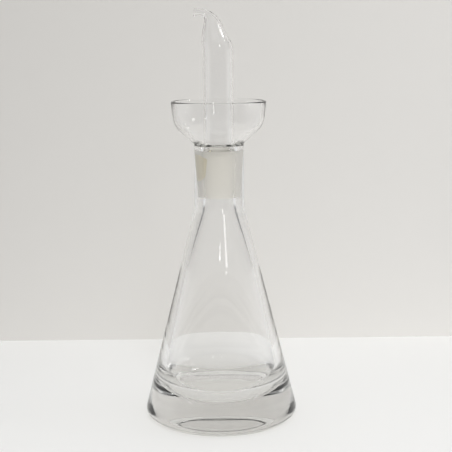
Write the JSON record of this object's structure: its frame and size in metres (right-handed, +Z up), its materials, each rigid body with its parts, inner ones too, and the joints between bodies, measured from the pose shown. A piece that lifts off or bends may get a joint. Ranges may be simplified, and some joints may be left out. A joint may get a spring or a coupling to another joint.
{
  "type": "oil bottle",
  "caption": "Clear glass oil bottle with a conical body, a funnel mouth that catches drips, and a lift-out glass pourer with a ground plug and a bent beak.",
  "frame": {"origin": "centre of the bottle's base, on the table", "axes": "+Z up along the bottle's axis, -X the way the pourer's beak points, the pictured side faces -Y"},
  "size_m": [0.08, 0.08, 0.2135],
  "materials": {
    "bottle_glass": "clear, fire-polished; the socket is ground matt",
    "pourer_glass": "clear, fire-polished; the plug is ground matt"
  },
  "bodies": {
    "bottle": {"bottle": "bottle_glass"},
    "pourer": {"pourer": "pourer_glass"}
  },
  "joints": [
    {"name": "pourer_lift", "type": "slide", "parent": "bottle", "child": "pourer", "axis": [0, 0, 1], "range_m": [0, 0.05]}
  ]
}
